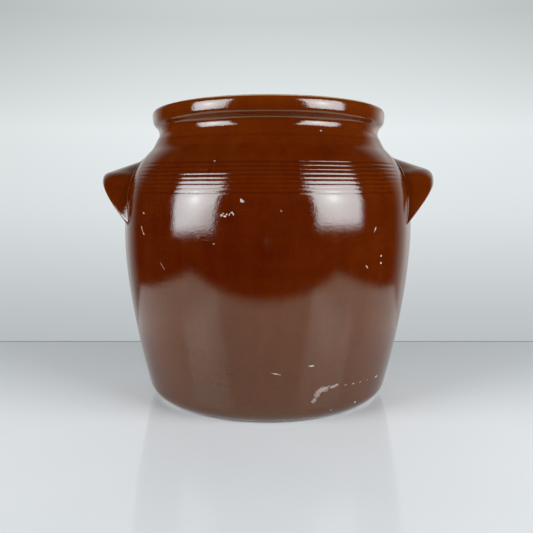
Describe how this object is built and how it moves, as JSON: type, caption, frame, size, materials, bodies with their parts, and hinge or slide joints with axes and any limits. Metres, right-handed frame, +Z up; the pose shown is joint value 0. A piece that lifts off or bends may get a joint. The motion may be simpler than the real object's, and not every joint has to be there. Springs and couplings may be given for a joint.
{
  "type": "confit pot",
  "caption": "Glazed stoneware storage pot with a grooved shoulder, a rolled rim, an open mouth and solid crescent lug handles luted to its sides.",
  "frame": {"origin": "centre of the standing face, on the pot's axis", "axes": "+X towards the right lug, +Y towards the back, +Z up along the pot's axis"},
  "size_m": [0.307, 0.265, 0.265],
  "materials": {
    "body_glaze": "glossy red-brown iron glaze over stoneware",
    "lug_glaze": "glossy red-brown iron glaze over stoneware",
    "slip_glaze": "glossy red-brown glaze, thinner over the bead of slip"
  },
  "bodies": {
    "root": {"pot_body": "body_glaze", "right_lug_handle": "lug_glaze", "left_lug_handle": "lug_glaze", "right_luting_slip": "slip_glaze", "left_luting_slip": "slip_glaze"}
  },
  "joints": []
}
